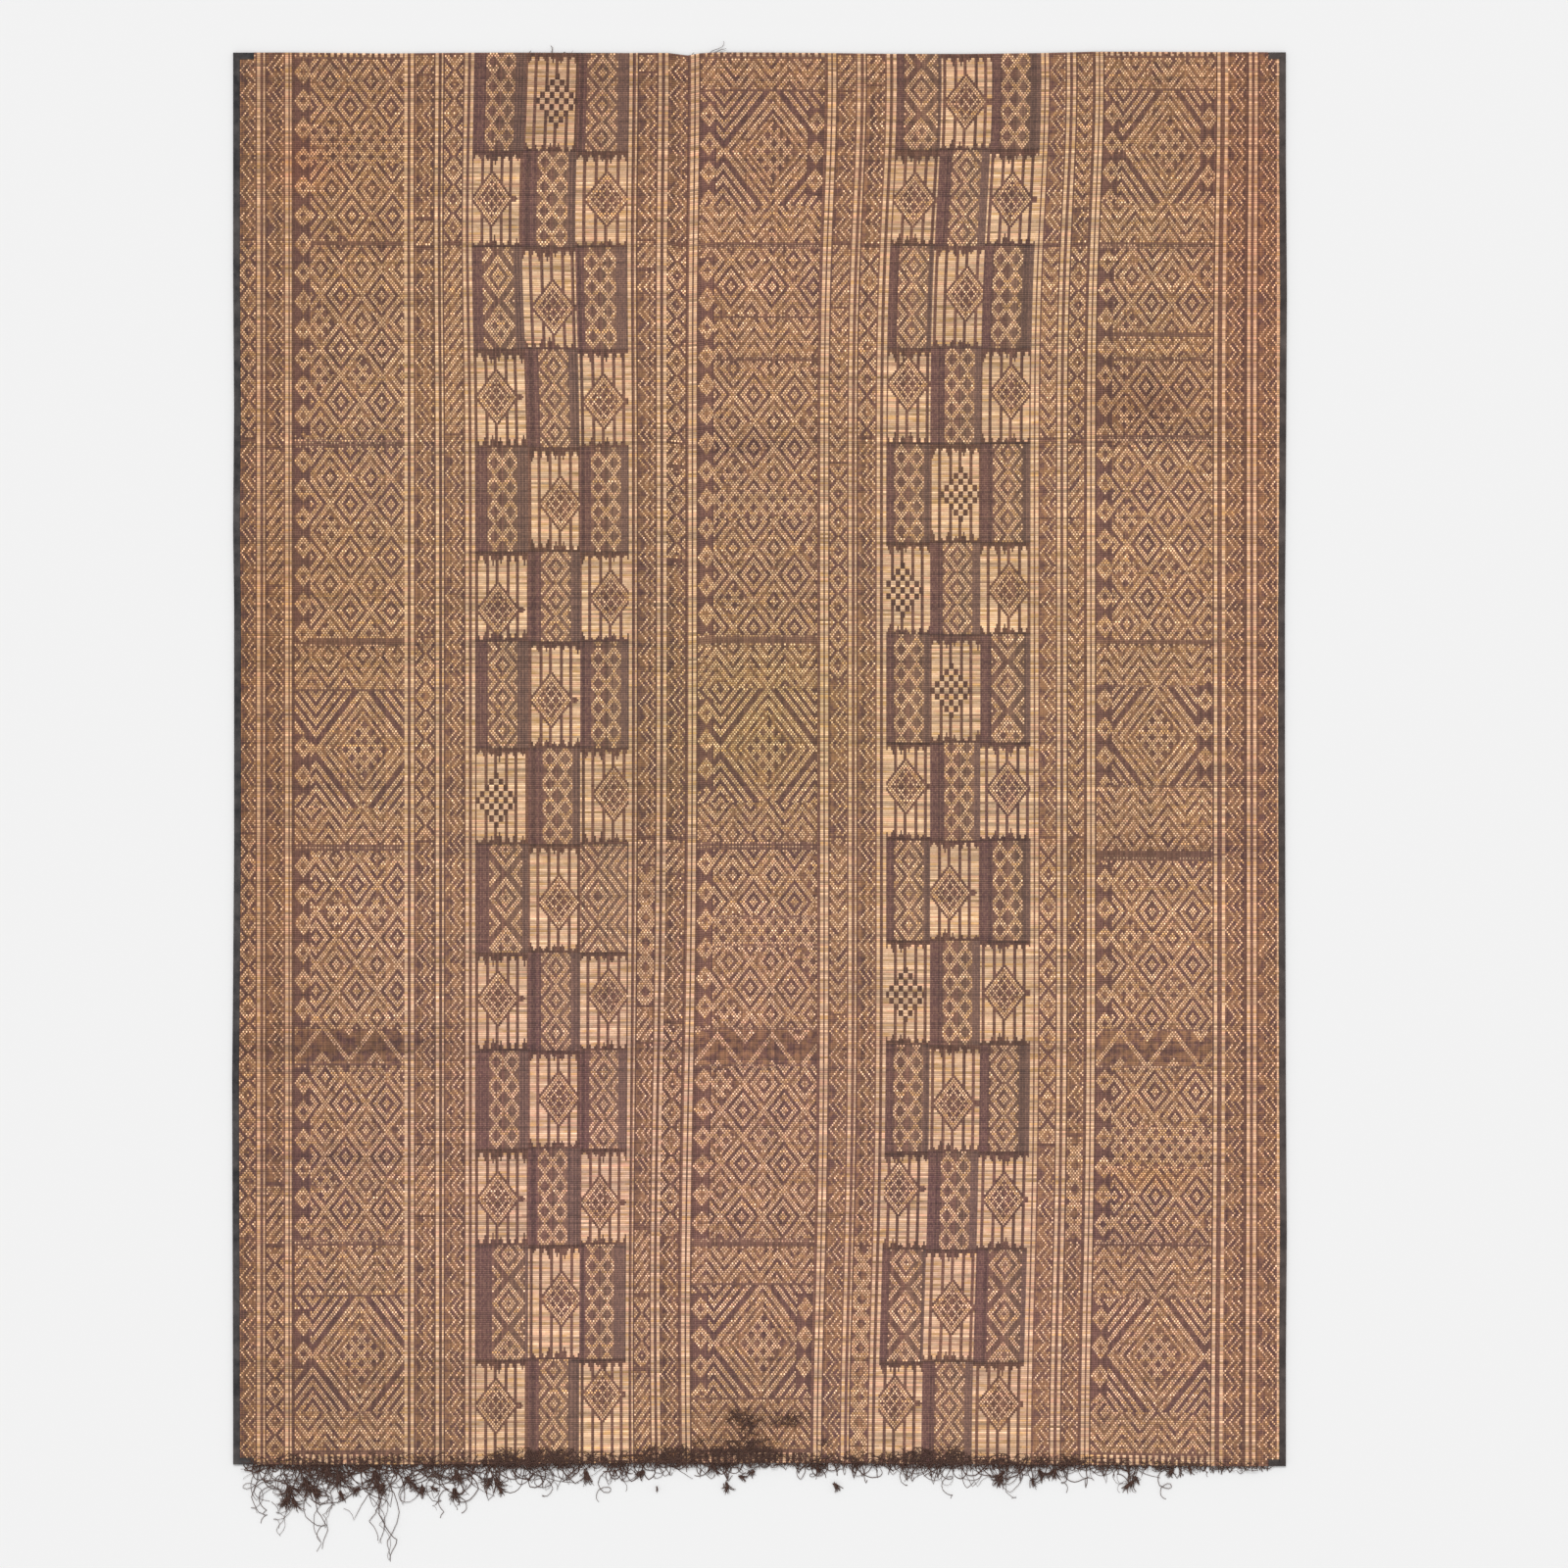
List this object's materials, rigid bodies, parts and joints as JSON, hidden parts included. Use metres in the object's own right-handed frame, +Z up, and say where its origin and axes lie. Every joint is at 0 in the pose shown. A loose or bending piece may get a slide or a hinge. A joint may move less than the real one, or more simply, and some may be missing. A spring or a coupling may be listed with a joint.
{
  "type": "reed and leather floor mat",
  "caption": "Large flat mat of thin reeds woven with dark leather strips in geometric bands, with cloth tape on both long edges and a loose leather fringe along the foot.",
  "frame": {"origin": "middle of the mat's underside, on the surface that it lies on", "axes": "+X along the reeds, +Y along the leather strips towards the head, away from the fringe, +Z up out of the patterned face"},
  "size_m": [1.9366, 2.776, 0.0054],
  "materials": {
    "woven_reed": "matt tan reeds woven with dark brown leather strips in geometric bands",
    "cloth_tape": "matt charcoal woven cotton tape",
    "fringe_leather": "dry dark brown leather thongs"
  },
  "bodies": {
    "root": {"woven_mat": "woven_reed", "left_binding": "cloth_tape", "right_binding": "cloth_tape", "fringe": "fringe_leather"}
  },
  "joints": []
}
